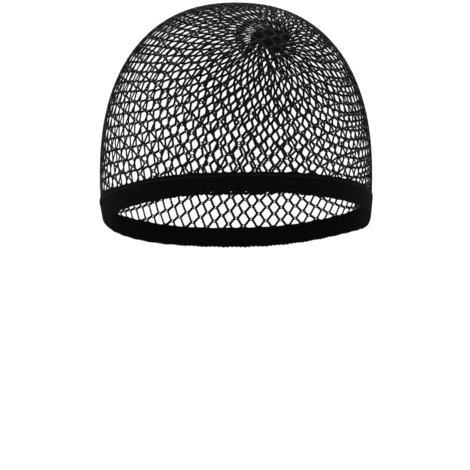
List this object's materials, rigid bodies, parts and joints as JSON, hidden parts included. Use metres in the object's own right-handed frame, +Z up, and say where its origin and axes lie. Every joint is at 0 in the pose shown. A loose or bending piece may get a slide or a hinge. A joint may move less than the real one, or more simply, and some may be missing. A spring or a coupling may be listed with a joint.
{
  "type": "wig net",
  "caption": "Stretchy fishnet wig cap with a flat elastic band round its opening, in the form it has when worn on a head.",
  "frame": {"origin": "inside the cap, on its midplane, halfway from the forehead to the back of the head and level with the cap's widest section", "axes": "+Z up to the crown, -Y towards the forehead, +X towards the wearer's left side"},
  "size_m": [0.1508, 0.1927, 0.1369],
  "materials": {
    "net_yarn": "satin",
    "elastic": "matte",
    "thread": "satin"
  },
  "bodies": {
    "root": {"net_dome": "net_yarn", "elastic_band": "elastic", "crown_tie": "thread", "thread_knot": "thread"}
  },
  "joints": []
}
